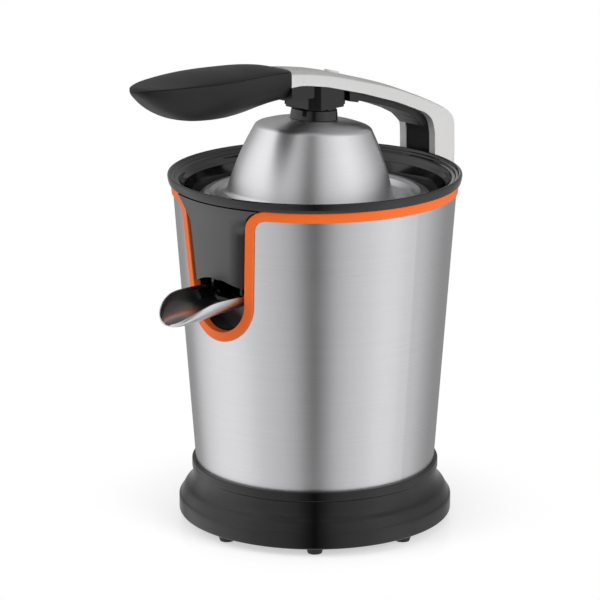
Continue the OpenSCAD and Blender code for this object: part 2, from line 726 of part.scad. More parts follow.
module press_neck() color("#232126") press_pose() {
    rotate_extrude() polygon([[0, dome_z - 3.4], [9, dome_z - 3.4], [9, dome_z], [15.4, dome_z],
        [15.2, dome_z + 2.5], [14.7, neck_top_z - 0.5], [14.2, neck_top_z], [0, neck_top_z]]);
    difference() {
        intersection() {
            translate([0, 0, neck_top_z - 0.5]) cylinder(r = stem_r, h = 20);
            union() {
                translate([-20, -4.6, 260]) cube([40, 9.2, pivot_z - 260]);
                x_cylinder(4.6, -20, 20, 0, pivot_z);
            }
        }
        x_cylinder(press_pin_r + fit, -30, 30, 0, pivot_z);
    }
}

dome_side = [[dome_r, dome_low], [dome_r, dome_low + 0.8], [dome_r - 1.5, dome_low + 1.8],
    [dome_r - 1.9, 218],
    [dome_r - 4.4, 227],
    [dome_r - 8, 238], [dome_r - 12.4, 249], [dome_r - 17, 258.6], [dome_r - 18.2, 260.4],
        [dome_r - 19.4, 261.3],
    [dome_r - 22, 262.2], [25, 264.4], [9.05, dome_z]];

module press_dome() color("#c9c9cb") press_pose() {
    rotate_extrude($fn = 180) polygon(concat(dome_side,
        [[9.05, dome_z - dome_wall]],
        [for (i = [len(dome_side) - 2 : -1 : 0]) let (p = dome_side[i])
            [p[0] - dome_wall * (i > 8 ? 0.4 : 1), p[1] - (i > 8 ? dome_wall : (i > 6 ? 0.6 : 0))]]));
}

module press_liner() color("#1c1b1e") press_pose() {
    inner = [[dome_r - 3, dome_low - 0.3], [dome_r - 3, dome_low + 0.4], [dome_r - 3.1, 217],
        [dome_r - 3.3, 218],
        [dome_r - 5.8, 227],
        [dome_r - 9.4, 238], [dome_r - 13.8, 249], [dome_r - 18.6, 258], [25, 262.4], [9.1, 262.6]];
    rotate_extrude($fn = 120) polygon(concat(inner, [[9.1, 260.6], [24, 260.4]],
        [for (i = [7 : -1 : 0]) let (p = inner[i]) [p[0] - 2, p[1] - (i == 7 ? 1 : 0)]]));
    translate([0, 0, 259.6]) cylinder(r = 9.4, h = 3);
    for (a = [0 : 45 : 315]) rotate(a) rotate([90, 0, 0]) translate([0, 0, -1]) linear_extrude(2)
        polygon([[dome_r - 4.4, 216], [dome_r - 7, 216], [dome_r - 9, 222], [dome_r - 14, 236],
            [dome_r - 18, 247],
            [dome_r - 22, 254], [dome_r - 21, 258], [dome_r - 17, 252], [dome_r - 12, 240],
                [dome_r - 6.5, 224]]);
}

// --- drive ---

module thrust_cup() color("#d8d5cb") {
    difference() {
        translate([0, 0, 99]) cylinder(r = 8, h = 12);
        translate([0, 0, shaft_z0 - 0.2]) cylinder(r = shaft_r + fit, h = 20);
    }
}

module return_spring() color("#8a8a8e") coil(6.2, 0.7, 84, 99, 5);

module drive_shaft() color("#b0b0b4") {
    translate([0, 0, shaft_z0]) cylinder(r = shaft_r, h = 198 - shaft_z0);
    translate([0, 0, 197.8]) cylinder(r = 3.9, h = shaft_z1 - 197.8, $fn = 6);
}

module output_gear() color("#e3e0d6") {
    difference() {
        union() {
            spur(out_teeth, 134, 7);
            translate([0, 0, 130]) cylinder(r = 6.7, h = 15);
        }
        translate([0, 0, 120]) cylinder(r = shaft_r, h = 40);
    }
}

module reamer_cone() color("#232226") {
    cone = [[30, 203.6], [32.6, 204.4], [33, 206], [30.6, 214], [25.6, 226], [18.6, 238], [10, 247],
        [4, 250.4], [0, 251]];
    difference() {
        union() {
            rotate_extrude() polygon(concat([[0, 203.6]], cone));
            for (a = [0 : 36 : 324]) rotate(a) rotate([90, 0, 0]) translate([0, 0,
                -1.1]) linear_extrude(2.2)
                polygon([[8, 205], [34.4, 205], [35, 206.6], [33, 214], [28.2, 226], [21, 238.4],
                    [12, 248], [5, 252.2], [2, 252.6]]);
        }
        // hollow underneath
        rotate_extrude() polygon([[9.8, 200], [30.5, 200], [30.4, 206], [28, 213.6], [23.4, 224],
            [16.6, 235.4], [9.8, 241]]);
        translate([0, 0, 200]) cylinder(r = 9.9, h = 4.4);
        // socket
        translate([0, 0, 195]) cylinder(r = 3.95, h = shaft_z1 - 195 + 0.3, $fn = 6);
    }
}

module idler_gear() color("#e3e0d6") {
    translate([0, idler_y, 0]) difference() {
        union() {
            spur(idler_big, 122.6, 6);
            rotate(11.25) spur(idler_small, 128.5, 15);
            translate([0, 0, deck_z + 0.3]) cylinder(r = 6, h = 3);
        }
        translate([0, 0, 110]) cylinder(r = 2.5 + fit, h = 50);
    }
}

module rotor_shaft() color("#a8a8ac") {
    translate([motor_x, idler_y, 0]) {
        translate([0, 0, 46.5]) cylinder(r = 2.5, h = 84);
        translate([0, 0, 58]) cylinder(r = motor_r - 6, h = 42);
    }
}

module motor_pinion() color("#c8a24a") {
    translate([motor_x, idler_y, 0]) difference() {
        rotate(180 / pinion_teeth) spur(pinion_teeth, 121.8, 8);
        translate([0, 0, 110]) cylinder(r = 2.5, h = 50);
    }
}

// --- spout ---

// sections of the trough: y from the pin, edge, floor, what the half width loses
trough_rows = [[1, 165.4, 156.6, 0], [-3, 166.4, 156.2, 0], [-11, 167, 155.6, 0], [-21, 167.2, 154.8, 0.2],
    [-29, 166.8, 154, 0.8], [-36, 165.2, 153.3, 2], [-43, 162.4, 152.7, 4.2], [-49, 159.4, 152.5, 7.4],
    [-54, 156.8, 152.6, 11.6], [-57, 155.2, 153, 16]];
trough = [for (t = trough_rows) [spout_pin[0] + t[0], t[1], t[2], spout_hw - t[3]]];

// section: half ellipse below the edges
function trough_section(t, d, up) = concat([for (k = [0 : 16]) let (a = 180 + 180 * k / 16)
    [(t[3] - d) * sign(cos(a)) * pow(abs(cos(a)), 0.75), t[0], t[1] + (t[1] - t[2] - d) * sin(a)]],
    up > 0 ? [[t[3] - d, t[0], t[1] + up], [-(t[3] - d), t[0], t[1] + up]] : []);

module spout() color("#cfcfd1") {
    difference() {
        loft([for (i = [len(trough) - 1 : -1 : 0]) trough_section(trough[i], 0, 0.01)]);
        loft(concat([[for (p = trough_section(trough[len(trough) - 1], spout_wall, 20)) [p[0],
            p[1] - 4, p[2] - 0.4]]],
            [for (i = [len(trough) - 1 : -1 : 0]) trough_section(trough[i], spout_wall, 20)],
            [[for (p = trough_section(trough[0], spout_wall, 20)) [p[0], p[1] + 3, p[2]]]]));
        x_cylinder(spout_pin_r + 0.02, -30, 30, spout_pin[0], spout_pin[1]);
    }
}

module spout_carrier() color("#232126") {
    difference() {
        intersection() {
            loft([for (i = [3 : -1 : 0]) trough_section(trough[i], spout_wall + 0.05, 0.01)]);
            translate([-30, spout_pin[0] - 10, 150]) cube([60, 10.6, 15.2]);
        }
        loft(concat([for (i = [3 : -1 : 0]) trough_section(trough[i], spout_wall + 1.6, 20)],
            [[for (p = trough_section(trough[0], spout_wall + 1.6, 20)) [p[0], p[1] + 3, p[2]]]]));
        translate([-15, spout_pin[0] - 20, 140]) cube([30, 40, 40]);
    }
    for (s = [-1, 1]) x_cylinder(spout_pin_r, s > 0 ? spout_hw - 2.9 : -spout_hw - 2.8,
        s > 0 ? spout_hw + 2.8 : 2.9 - spout_hw, spout_pin[0], spout_pin[1]);
}

module on_axis() translate([0, axis_y, 0]) children();

on_axis() base_ring();
on_axis() bottom_plate();
on_axis() feet();
on_axis() base_screws();
on_axis() cord_gland();
on_axis() casing();
on_axis() trim();
on_axis() recess_liner();
on_axis() chassis();
on_axis() gear_cover();
on_axis() cover_screws();
on_axis() lower_bush();
on_axis() upper_bush();
on_axis() shaft_seal();
on_axis() motor_can();
on_axis() motor_end_cap();
on_axis() motor_screws();
on_axis() idler_axle();
on_axis() microswitch();
on_axis() bowl();
on_axis() rim();
on_axis() filter();
on_axis() filter_screen();
on_axis() hinge_bracket();
on_axis() bracket_screws();
on_axis() hinge_pin();
on_axis() arm_shell();
on_axis() arm_under_cover();
on_axis() leg_insert();
on_axis() cover_joint_screws();
on_axis() collar();
on_axis() press_pin();
on_axis() grip_top();
on_axis() grip_bottom();
on_axis() arm_button();
on_axis() button_spring();
on_axis() press_neck();
on_axis() press_dome();
on_axis() press_liner();
on_axis() thrust_cup();
on_axis() return_spring();
on_axis() drive_shaft();
on_axis() output_gear();
on_axis() reamer_cone();
on_axis() idler_gear();
on_axis() rotor_shaft();
on_axis() motor_pinion();
on_axis() spout();
on_axis() spout_carrier();
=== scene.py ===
import json
import math

import bmesh
import bpy
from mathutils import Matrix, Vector


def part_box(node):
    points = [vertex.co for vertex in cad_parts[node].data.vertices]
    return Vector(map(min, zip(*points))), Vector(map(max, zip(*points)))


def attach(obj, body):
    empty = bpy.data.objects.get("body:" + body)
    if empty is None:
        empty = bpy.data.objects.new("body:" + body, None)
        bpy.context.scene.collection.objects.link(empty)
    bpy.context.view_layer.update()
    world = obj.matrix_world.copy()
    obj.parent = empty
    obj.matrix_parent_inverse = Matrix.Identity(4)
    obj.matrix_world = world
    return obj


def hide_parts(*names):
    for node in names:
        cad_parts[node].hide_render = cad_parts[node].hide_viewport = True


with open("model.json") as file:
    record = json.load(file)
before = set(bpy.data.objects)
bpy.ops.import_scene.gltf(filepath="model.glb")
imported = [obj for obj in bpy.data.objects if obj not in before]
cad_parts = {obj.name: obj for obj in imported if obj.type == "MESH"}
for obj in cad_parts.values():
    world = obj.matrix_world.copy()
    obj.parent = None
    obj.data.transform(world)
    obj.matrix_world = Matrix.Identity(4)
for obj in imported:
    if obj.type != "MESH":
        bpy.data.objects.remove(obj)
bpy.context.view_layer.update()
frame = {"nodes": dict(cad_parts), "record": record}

nodes = frame["nodes"]
pi = math.pi
mm = 0.001

# the base ring stands round the machine's upright axis, a little behind the origin
low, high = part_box("base_ring")
axisY = (low.y + high.y) / 2
print("frame loaded:", len(nodes), "nodes, axis at Y", round(axisY, 5))

# camera and studio, in metres and degrees
studio = {
    "aimHeight": 0.145,
    "azimuth": 45.0,
    "elevation": 15.07,
    "distance": 2.0,
    "lens": 184.5,
    "shiftX": -0.0247,
    "ambient": 0.36,
    "keyPower": 6.5,
    "fillPower": 10.0,
    "topPower": 0.2,
    "tentRadius": 1.7,
    "tentLow": -1.2,
    "tentHigh": 1.9,
    "tentRoof": 0.7,
    "tentStrength": 1.4,
    "floorRadius": 7.0,
    "shadowFrom": 0.09,
    "shadowReach": 0.17,
    "floorGlow": 0.5,
}

# the tent's brightness round the camera: turn to the right of it in degrees, level
tentBands = [(-180, 0.30), (-140, 0.42), (-120, 0.95), (-100, 1.20), (-80, 1.25), (-64, 1.14), (-52, 0.94),
             (-42, 0.86), (-28, 0.74), (-17, 0.56), (-8, 0.26), (0, 0.04), (8, 0.30), (18, 0.66), (30, 0.86),
             (46, 1.02), (60, 1.20), (74, 1.18), (87, 0.98), (101, 0.84), (116, 0.60), (134, 0.40),
             (180, 0.30)]

# and from its foot to its roof: share of the height, level
tentLevels = [(0, 1.0), (0.72, 1.0), (0.82, 0.85), (0.9, 0.75), (1, 0.6)]


def mix(a, b, t):
    return a + (b - a) * t


def linearOne(c):
    return c / 12.92 if c <= 0.04045 else ((c + 0.055) / 1.055) ** 2.4


def lin(r, g, b):
    # an ordinary 0 to 255 colour as the linear one that the shaders take
    return (linearOne(r / 255), linearOne(g / 255), linearOne(b / 255), 1.0)


# node graph helpers
def addNode(tree, kind, label=None, **values):
    node = tree.nodes.new(kind)
    if label:
        node.label = label
    for key, value in values.items():
        setattr(node, key, value)
    return node


def setInputs(node, **values):
    for key, value in values.items():
        node.inputs[key.replace("_", " ")].default_value = value
    return node


def mathNode(tree, operation, a, b, clamp=False):
    node = addNode(tree, "ShaderNodeMath", operation=operation, use_clamp=clamp)
    for index, value in enumerate((a, b)):
        if isinstance(value, (int, float)):
            node.inputs[index].default_value = value
        else:
            tree.links.new(value, node.inputs[index])
    return node.outputs[0]


def rampNode(tree, factor, stops):
    node = addNode(tree, "ShaderNodeValToRGB")
    ramp = node.color_ramp
    while len(ramp.elements) < len(stops):
        ramp.elements.new(0.5)
    for element, (place, level) in zip(ramp.elements, stops):
        element.position = place
        element.color = (level, level, level, 1)
    tree.links.new(factor, node.inputs[0])
    return node


def newGroup(name, inputs, outputs):
    group = bpy.data.node_groups.new(name, "ShaderNodeTree")
    for title, kind, value in inputs:
        socket = group.interface.new_socket(name=title, in_out="INPUT", socket_type="NodeSocket" + kind)
        if value is not None:
            socket.default_value = value
    for title, kind in outputs:
        group.interface.new_socket(name=title, in_out="OUTPUT", socket_type="NodeSocket" + kind)
    return group, addNode(group, "NodeGroupInput").outputs, addNode(group, "NodeGroupOutput").inputs


def makeGrainGroup():
    # fine lines left by a brush that ran along one direction; Stretch is the size across, along, across
    group, ins, outs = newGroup("brushedGrain",
                                [("Vector", "Vector", None), ("Stretch", "Vector", (30, 30, 5000)),
                                 ("Contrast", "Float", 1.0)],
                                [("Tone", "Float"), ("Height", "Float")])
    scaled = addNode(group, "ShaderNodeVectorMath", operation="MULTIPLY")
    group.links.new(ins["Vector"], scaled.inputs[0])
    group.links.new(ins["Stretch"], scaled.inputs[1])
    fine = setInputs(addNode(group, "ShaderNodeTexNoise", "fine lines"), Scale=1.0, Detail=3.0, Roughness=0.7)
    broad = setInputs(addNode(group, "ShaderNodeTexNoise", "broad lines"), Scale=0.22, Detail=2.0,
                      Roughness=0.6)
    group.links.new(scaled.outputs[0], fine.inputs["Vector"])
    group.links.new(scaled.outputs[0], broad.inputs["Vector"])
    both = mathNode(group, "ADD", mathNode(group, "MULTIPLY", fine.outputs[0], 0.65),
                    mathNode(group, "MULTIPLY", broad.outputs[0], 0.35))
    swing = mathNode(group, "MULTIPLY", mathNode(group, "SUBTRACT", both, 0.5), ins["Contrast"])
    group.links.new(mathNode(group, "ADD", swing, 0.5, True), outs["Tone"])
    group.links.new(both, outs["Height"])
    return group


def makeSmudgeGroup():
    # soft uneven patches, as handling and wiping leave on a smooth surface
    group, ins, outs = newGroup("handledPatches", [("Scale", "Float", 30.0), ("Sharpness", "Float", 3.0)],
                                [("Mask", "Float")])
    place = addNode(group, "ShaderNodeTexCoord")
    noise = setInputs(addNode(group, "ShaderNodeTexNoise", "patches"), Detail=4.0, Roughness=0.55,
                      Distortion=0.4)
    group.links.new(place.outputs["Object"], noise.inputs["Vector"])
    group.links.new(ins["Scale"], noise.inputs["Scale"])
    swing = mathNode(group, "MULTIPLY", mathNode(group, "SUBTRACT", noise.outputs[0], 0.48), ins["Sharpness"])
    group.links.new(mathNode(group, "ADD", swing, 0.5, True), outs["Mask"])
    return group


def makeMouldGroup():
    # the fine pebble that a spark-eroded mould leaves on plastic
    group, ins, outs = newGroup("mouldTexture", [("Scale", "Float", 2500.0)], [("Height", "Float")])
    place = addNode(group, "ShaderNodeTexCoord")
    noise = setInputs(addNode(group, "ShaderNodeTexNoise", "pebble"), Detail=2.0, Roughness=0.6)
    cells = setInputs(addNode(group, "ShaderNodeTexVoronoi", "pits"), Randomness=1.0)
    for node in (noise, cells):
        group.links.new(place.outputs["Object"], node.inputs["Vector"])
        group.links.new(ins["Scale"], node.inputs["Scale"])
    joined = mathNode(group, "ADD", mathNode(group, "MULTIPLY", noise.outputs[0], 0.6),
                      mathNode(group, "MULTIPLY", cells.outputs["Distance"], 0.4))
    group.links.new(joined, outs["Height"])
    return group


def makeWearGroup():
    # outer edges rubbed a little by use and cleaning
    group, ins, outs = newGroup("edgeWear", [("Reach", "Float", 12.0), ("Breakup", "Float", 300.0)],
                                [("Mask", "Float")])
    shape = addNode(group, "ShaderNodeNewGeometry")
    place = addNode(group, "ShaderNodeTexCoord")
    noise = setInputs(addNode(group, "ShaderNodeTexNoise", "broken edge"), Detail=3.0)
    group.links.new(place.outputs["Object"], noise.inputs["Vector"])
    group.links.new(ins["Breakup"], noise.inputs["Scale"])
    raised = mathNode(group, "SUBTRACT", shape.outputs["Pointiness"], 0.52)
    edge = mathNode(group, "MULTIPLY", raised, ins["Reach"])
    broken = mathNode(group, "MULTIPLY", edge, noise.outputs[0], True)
    group.links.new(broken, outs["Mask"])
    return group


grainGroup, smudgeGroup, mouldGroup, wearGroup = (makeGrainGroup(), makeSmudgeGroup(), makeMouldGroup(),
                                                  makeWearGroup())


def useGroup(tree, group, **values):
    node = addNode(tree, "ShaderNodeGroup", node_tree=group)
    for key, value in values.items():
        node.inputs[key].default_value = value
    return node


def startMaterial(name, shaderValues):
    material = bpy.data.materials.new(name)
    material.use_nodes = True
    tree = material.node_tree
    shader = tree.nodes["Principled BSDF"]
    for key, value in shaderValues.items():
        shader.inputs[key].default_value = value
    material.diffuse_color = shaderValues["Base Color"]
    return material, tree, shader


def blendColor(tree, mask, a, b):
    node = addNode(tree, "ShaderNodeMix", data_type="RGBA")
    node.inputs["A"].default_value = a
    node.inputs["B"].default_value = b
    tree.links.new(mask, node.inputs["Factor"])
    return node.outputs["Result"]


def spanValue(tree, mask, a, b):
    node = addNode(tree, "ShaderNodeMapRange")
    node.inputs["To Min"].default_value = a
    node.inputs["To Max"].default_value = b
    tree.links.new(mask, node.inputs["Value"])
    return node.outputs["Result"]


def addBump(tree, shader, height, strength, distance):
    bump = setInputs(addNode(tree, "ShaderNodeBump"), Strength=strength, Distance=distance)
    tree.links.new(height, bump.inputs["Height"])
    tree.links.new(bump.outputs[0], shader.inputs["Normal"])


def metalMaterial(name, dark, light, roughness, stretch, contrast=1.0, anisotropic=0.0, turned=0.25,
                  bump=0.05, tangentAxis="Z", patchScale=14.0):
    # brushed or spun metal: the grain shifts the tone and the gloss, and handling dulls it in soft patches
    material, tree, shader = startMaterial(name, {"Base Color": light, "Metallic": 1.0,
                                                  "Anisotropic": anisotropic,
                                                  "Anisotropic Rotation": turned})
    place = addNode(tree, "ShaderNodeTexCoord")
    grain = useGroup(tree, grainGroup, Stretch=stretch, Contrast=contrast)
    tree.links.new(place.outputs["Object"], grain.inputs["Vector"])
    patches = useGroup(tree, smudgeGroup, Scale=patchScale, Sharpness=2.0)
    tree.links.new(blendColor(tree, grain.outputs["Tone"], dark, light), shader.inputs["Base Color"])
    both = mathNode(tree, "ADD", mathNode(tree, "MULTIPLY", grain.outputs["Tone"], 0.5),
                    mathNode(tree, "MULTIPLY", patches.outputs["Mask"], 0.5))
    tree.links.new(spanValue(tree, both, roughness[0], roughness[1]), shader.inputs["Roughness"])
    if anisotropic:
        tangent = addNode(tree, "ShaderNodeTangent", direction_type="RADIAL", axis=tangentAxis)
        tree.links.new(tangent.outputs[0], shader.inputs["Tangent"])
    addBump(tree, shader, grain.outputs["Height"], bump, 0.00002)
    return material


def plasticMaterial(name, color, worn, roughness, pebble=0.0, scale=2500.0, ior=1.46, coat=0.0, sheen=0.0,
                    patchScale=22.0):
    # moulded plastic or rubber: uneven gloss, a slight pebble, edges a touch paler
    values = {"Base Color": color, "IOR": ior, "Coat Weight": coat, "Coat Roughness": 0.06,
              "Sheen Weight": sheen}
    material, tree, shader = startMaterial(name, values)
    mould = useGroup(tree, mouldGroup, Scale=scale)
    patches = useGroup(tree, smudgeGroup, Scale=patchScale, Sharpness=2.4)
    wear = useGroup(tree, wearGroup, Reach=9.0)
    tree.links.new(blendColor(tree, wear.outputs["Mask"], color, worn), shader.inputs["Base Color"])
    rough = spanValue(tree, patches.outputs["Mask"], roughness[0], roughness[1])
    tree.links.new(rough, shader.inputs["Roughness"])
    if pebble:
        addBump(tree, shader, mould.outputs["Height"], pebble, 0.00004)
    return material


finishes = {
    "steel_brushed": metalMaterial("spunSteel", lin(186, 186, 188), lin(212, 212, 214), (0.24, 0.34),
                                   (26, 26, 5200), 0.9, 0.78),
    "steel_plain": metalMaterial("turnedSteel", lin(150, 150, 153), lin(180, 180, 183), (0.25, 0.4),
                                 (400, 400, 3000), 1.0),
    "steel_polished": metalMaterial("polishedSteel", lin(190, 190, 192), lin(210, 210, 212), (0.24, 0.32),
                                    (900, 120, 900), 0.6),
    "arm_silver": plasticMaterial("silverPaint", lin(214, 213, 212), lin(228, 228, 228), (0.26, 0.38), 0.03,
                                  3200.0, 1.5, 0.15),
    "black_gloss": plasticMaterial("glossBlack", lin(18, 17, 19), lin(28, 27, 29), (0.06, 0.13), 0.0,
                                   ior=1.5),
    "black_matte": plasticMaterial("matteBlack", lin(40, 40, 42), lin(60, 60, 62), (0.5, 0.65), 0.2),
    "black_rubber": plasticMaterial("rubberBlack", lin(30, 30, 31), lin(48, 48, 49), (0.6, 0.75), 0.25),
    "black_satin": plasticMaterial("satinBlack", lin(14, 13, 15), lin(28, 27, 29), (0.24, 0.36), 0.08,
                                   3000.0, ior=1.4),
    "grip_black": plasticMaterial("softGripBlack", lin(15, 14, 16), lin(30, 29, 31), (0.4, 0.54), 0.3, 1500.0,
                                  ior=1.4, sheen=0.03),
    "orange": plasticMaterial("satinOrange", lin(250, 110, 32), lin(248, 134, 70), (0.34, 0.46), 0.05, 2600.0,
                              ior=1.4),
    "panel": plasticMaterial("panelGrey", lin(24, 23, 25), lin(40, 39, 41), (0.28, 0.36), 0.05, 3000.0,
                             ior=1.75),
    # the dome is the same spun steel, its colour raised above the casing's as painted light that brightens
    # its reflections
    "dome": metalMaterial("spunDomePaintedLight", lin(214, 214, 216), lin(236, 236, 238), (0.34, 0.42),
                          (26, 26, 5200), 0.9, 0.68),
    "base": plasticMaterial("baseGloss", lin(10, 9, 11), lin(18, 17, 19), (0.05, 0.1), 0.0, ior=1.46),
    # the recess liner is the same black plastic, painted paler: painted light that stands in for the light
    # its deep recess lacks
    "liner": plasticMaterial("linerBlackPaintedLight", lin(50, 47, 49), lin(62, 59, 61), (0.16, 0.24), 0.0, ior=1.5),
    "bronze": metalMaterial("sinteredBronze", lin(150, 118, 66), lin(186, 150, 92), (0.35, 0.5),
                            (600, 600, 2000), 1.0),
    "gear_white": plasticMaterial("nylonWhite", lin(218, 214, 204), lin(232, 229, 220), (0.4, 0.55), 0.1),
}
print("finishes made:", len(finishes))

# nodes whose finish isn't the one of their slot; the recess liner takes a paler black, painted light in its
# deep recess
ownFinish = {"recess_liner": "liner", "cover_joint_screws": "black_satin"}
slotOf = {part["node"]: part["material_slot"] for part in frame["record"]["subparts"]}
for name, piece in nodes.items():
    mesh = piece.data
    mesh.materials.clear()
    mesh.materials.append(finishes[ownFinish.get(name, slotOf[name])])
print("CAD nodes finished")

# shapes: everything is drawn in millimetres round the machine's axis, then set in the frame
leanAngle = math.radians(-4)
pivotZ = 279
hingeAt = (104.483, 207)
casing = {"foot": 37.6, "footRadius": 78.2, "slope": 0.07206}


def casingRadius(z):
    return casing["footRadius"] + casing["slope"] * (z - casing["foot"])


def leaned(point):
    # the press hangs a little forward on its pin
    x, y, z = point
    c, s = math.cos(leanAngle), math.sin(leanAngle)
    return (x, y * c - (z - pivotZ) * s, pivotZ + y * s + (z - pivotZ) * c)


def smoothPath(points, perSpan):
    # a smooth line through the points, which may have two or more coordinates
    out = []
    last = len(points) - 1
    for i in range(last):
        p0, p1, p2, p3 = points[max(i - 1, 0)], points[i], points[i + 1], points[min(i + 2, last)]
        for k in range(perSpan):
            t = k / perSpan
            row = []
            for a, b, c, d in zip(p0, p1, p2, p3):
                row.append(0.5 * (2 * b + (c - a) * t + (2 * a - 5 * b + 4 * c - d) * t * t
                                  + (3 * b - a - 3 * c + d) * t ** 3))
            out.append(tuple(row))
    out.append(tuple(points[-1]))
    return out


def roundCorners(points, radius, steps, closed=True):
    # each corner becomes a short arc; radius is one number or one for each point
    out = []
    count = len(points)
    for i, point in enumerate(points):
        r = radius[i] if isinstance(radius, (list, tuple)) else radius
        if r <= 0 or (not closed and i in (0, count - 1)):
            out.append(point)
            continue
        p, a, b = Vector(point), Vector(points[i - 1]), Vector(points[(i + 1) % count])
        da, db = a - p, b - p
        cut = min(r, da.length * 0.45, db.length * 0.45)
        start, end = p + da.normalized() * cut, p + db.normalized() * cut
        for k in range(steps + 1):
            t = k / steps
            out.append(tuple(start * (1 - t) ** 2 + p * 2 * t * (1 - t) + end * t * t))
    return out


def buildPiece(name, verts, faces, finish, body, stands, sharp, leans=False):
    mesh = bpy.data.meshes.new(name)
    if leans:
        verts = [leaned(v) for v in verts]
    mesh.from_pydata([(x * mm, y * mm + axisY, z * mm) for x, y, z in verts], [], faces)
    build = bmesh.new()
    build.from_mesh(mesh)
    bmesh.ops.remove_doubles(build, verts=build.verts, dist=0.000002)
    bmesh.ops.dissolve_degenerate(build, edges=build.edges, dist=0.000001)
    bmesh.ops.recalc_face_normals(build, faces=build.faces)
    build.to_mesh(mesh)
    build.free()
    mesh.polygons.foreach_set("use_smooth", [True] * len(mesh.polygons))
    mesh.set_sharp_from_angle(angle=math.radians(sharp))
    mesh.materials.append(finishes[finish])
    piece = bpy.data.objects.new(name, mesh)
    bpy.context.scene.collection.objects.link(piece)
    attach(piece, body)
    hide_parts(*stands)


def loftMesh(loops, closed=False):
    # skins closed loops of equal length, in order; the two ends are capped unless they meet
    count = len(loops[0])
    verts = [point for loop in loops for point in loop]
    faces = []
    for row in range(len(loops) - (0 if closed else 1)):
        here, there = row * count, (row + 1) % len(loops) * count
        for k in range(count):
            n = (k + 1) % count
            faces.append((here + k, here + n, there + n, there + k))
    if not closed:
        faces.append(tuple(reversed(range(count))))
        base = (len(loops) - 1) * count
        faces.append(tuple(range(base, base + count)))
    return verts, faces


def revolve(profile, steps):
    # a closed profile of radius and height, turned once round the axis
    loops = []
    for k in range(steps):
        a = 2 * pi * k / steps
        loops.append([(r * math.cos(a), r * math.sin(a), z) for r, z in profile])
    return loftMesh(loops, closed=True)


# base
baseShape = {
    "baseRadius": 89.5,
    "collarRadius": 80.8,
    "flangeLow": 4.8,
    "collarTop": 39.6,
    "lipRound": 0.8,
    "flangeRound": 1.2,
    "bore": 71.0,
    "casingSeat": (78.55, 30.0),
}


def makeBase():
    r, c = baseShape["baseRadius"], baseShape["collarRadius"]
    shoulder = [(r, 12.0), (r, 14.6), (r - 0.25, 15.1), (r - 0.8, 15.6)]
    shoulder += smoothPath([(r - 1.2, 16.1), (r - 1.7, 17.0), (r - 2.4, 18.4), (r - 4.0, 21.2),
                           (r - 6.8, 24.0), (r - 8.6, 27.3), (r - 9.25, 31.0), (c - 0.6, 33.2)], 5)
    low, top = baseShape["flangeLow"], baseShape["collarTop"]
    seat, floor = baseShape["casingSeat"]
    flange = roundCorners([(r - 12, low), (r, low), (r, 8.0)], [0, baseShape["flangeRound"], 0], 5, False)
    collar = roundCorners([(c - 0.6, 33.4), (c, 34.1), (c, top), (seat, top), (seat, floor)],
                          [0, 0.5, baseShape["lipRound"], 0.2, 0], 5, False)
    inside = [(75, floor), (baseShape["bore"], 24), (baseShape["bore"], low + 0.4)]
    profile = flange + shoulder + collar + inside
    verts, faces = revolve(profile, 180)
    buildPiece("baseRing", verts, faces, "base", "body", ["base_ring"], 40)


makeBase()
print("base made")

# rim and front panel
rimShape = {
    "radius": 94.98,
    # radii below zero are measured in from the rim's edge
    "profile": [(84.4, 222), (86.8, 222), (-7.2, 224.9), (-1.0, 224.9), (-0.35, 227.4), (-0.05, 229.4),
                (-0.3, 230.5), (-1.0, 231), (-1.8, 230.9), (-2.5, 230.2), (-2.9, 229.3), (-4.3, 229.0),
                (-4.9, 227.9), (-6.8, 227.5), (-7.8, 226.4), (-8.6, 224.6)],
    "panelProud": 0.5,
    "panelRoll": (11.0, 8.0),
    "panelRollLeft": (4.0, 1.2),
    "panelThick": 2.2,
    "panelLow": 168.6,
    "panelHigh": 224.2,
    "panelGap": 0.35,
    "flareFrom": 206.0,
    "flareIn": 1.1,
    "archRadius": 38.2,
    "archCentre": 137.8,
    "archHalf": 26,
    "archLow": 170.6,
}

# the opening in the casing's front: straight sides, then shoulders that open into the band
openingShape = {
    "sideLow": 163.0,
    "sideHigh": 210.2,
    "halfLow": 22.2,
    "halfHigh": 26.0,
    "shoulderRadius": 14.5,
    "shoulderX": 40.5,
}


def makeRim():
    profile = [(r if r > 0 else rimShape["radius"] + r, z) for r, z in rimShape["profile"]]
    profile = roundCorners(profile, 0.5, 3)
    verts, faces = revolve(profile, 192)
    buildPiece("rimRing", verts, faces, "black_gloss", "body", ["rim"], 40)


def openingHalf(z, inset):
    # half width of the front opening at a height, widening into its shoulders
    low, high = openingShape["sideLow"], openingShape["sideHigh"]
    if z <= high:
        share = max(0.0, min(1.0, (z - low) / (high - low)))
        return mix(openingShape["halfLow"], openingShape["halfHigh"], share) - inset
    radius = openingShape["shoulderRadius"]
    rise = min(z - high, radius - 0.1)
    return openingShape["shoulderX"] - math.sqrt(max(radius ** 2 - rise ** 2, 0.0)) - inset


def outletArch(x):
    # lower edge of the panel, arched over the spout
    return rimShape["archCentre"] + math.sqrt(rimShape["archRadius"] ** 2 - x ** 2)


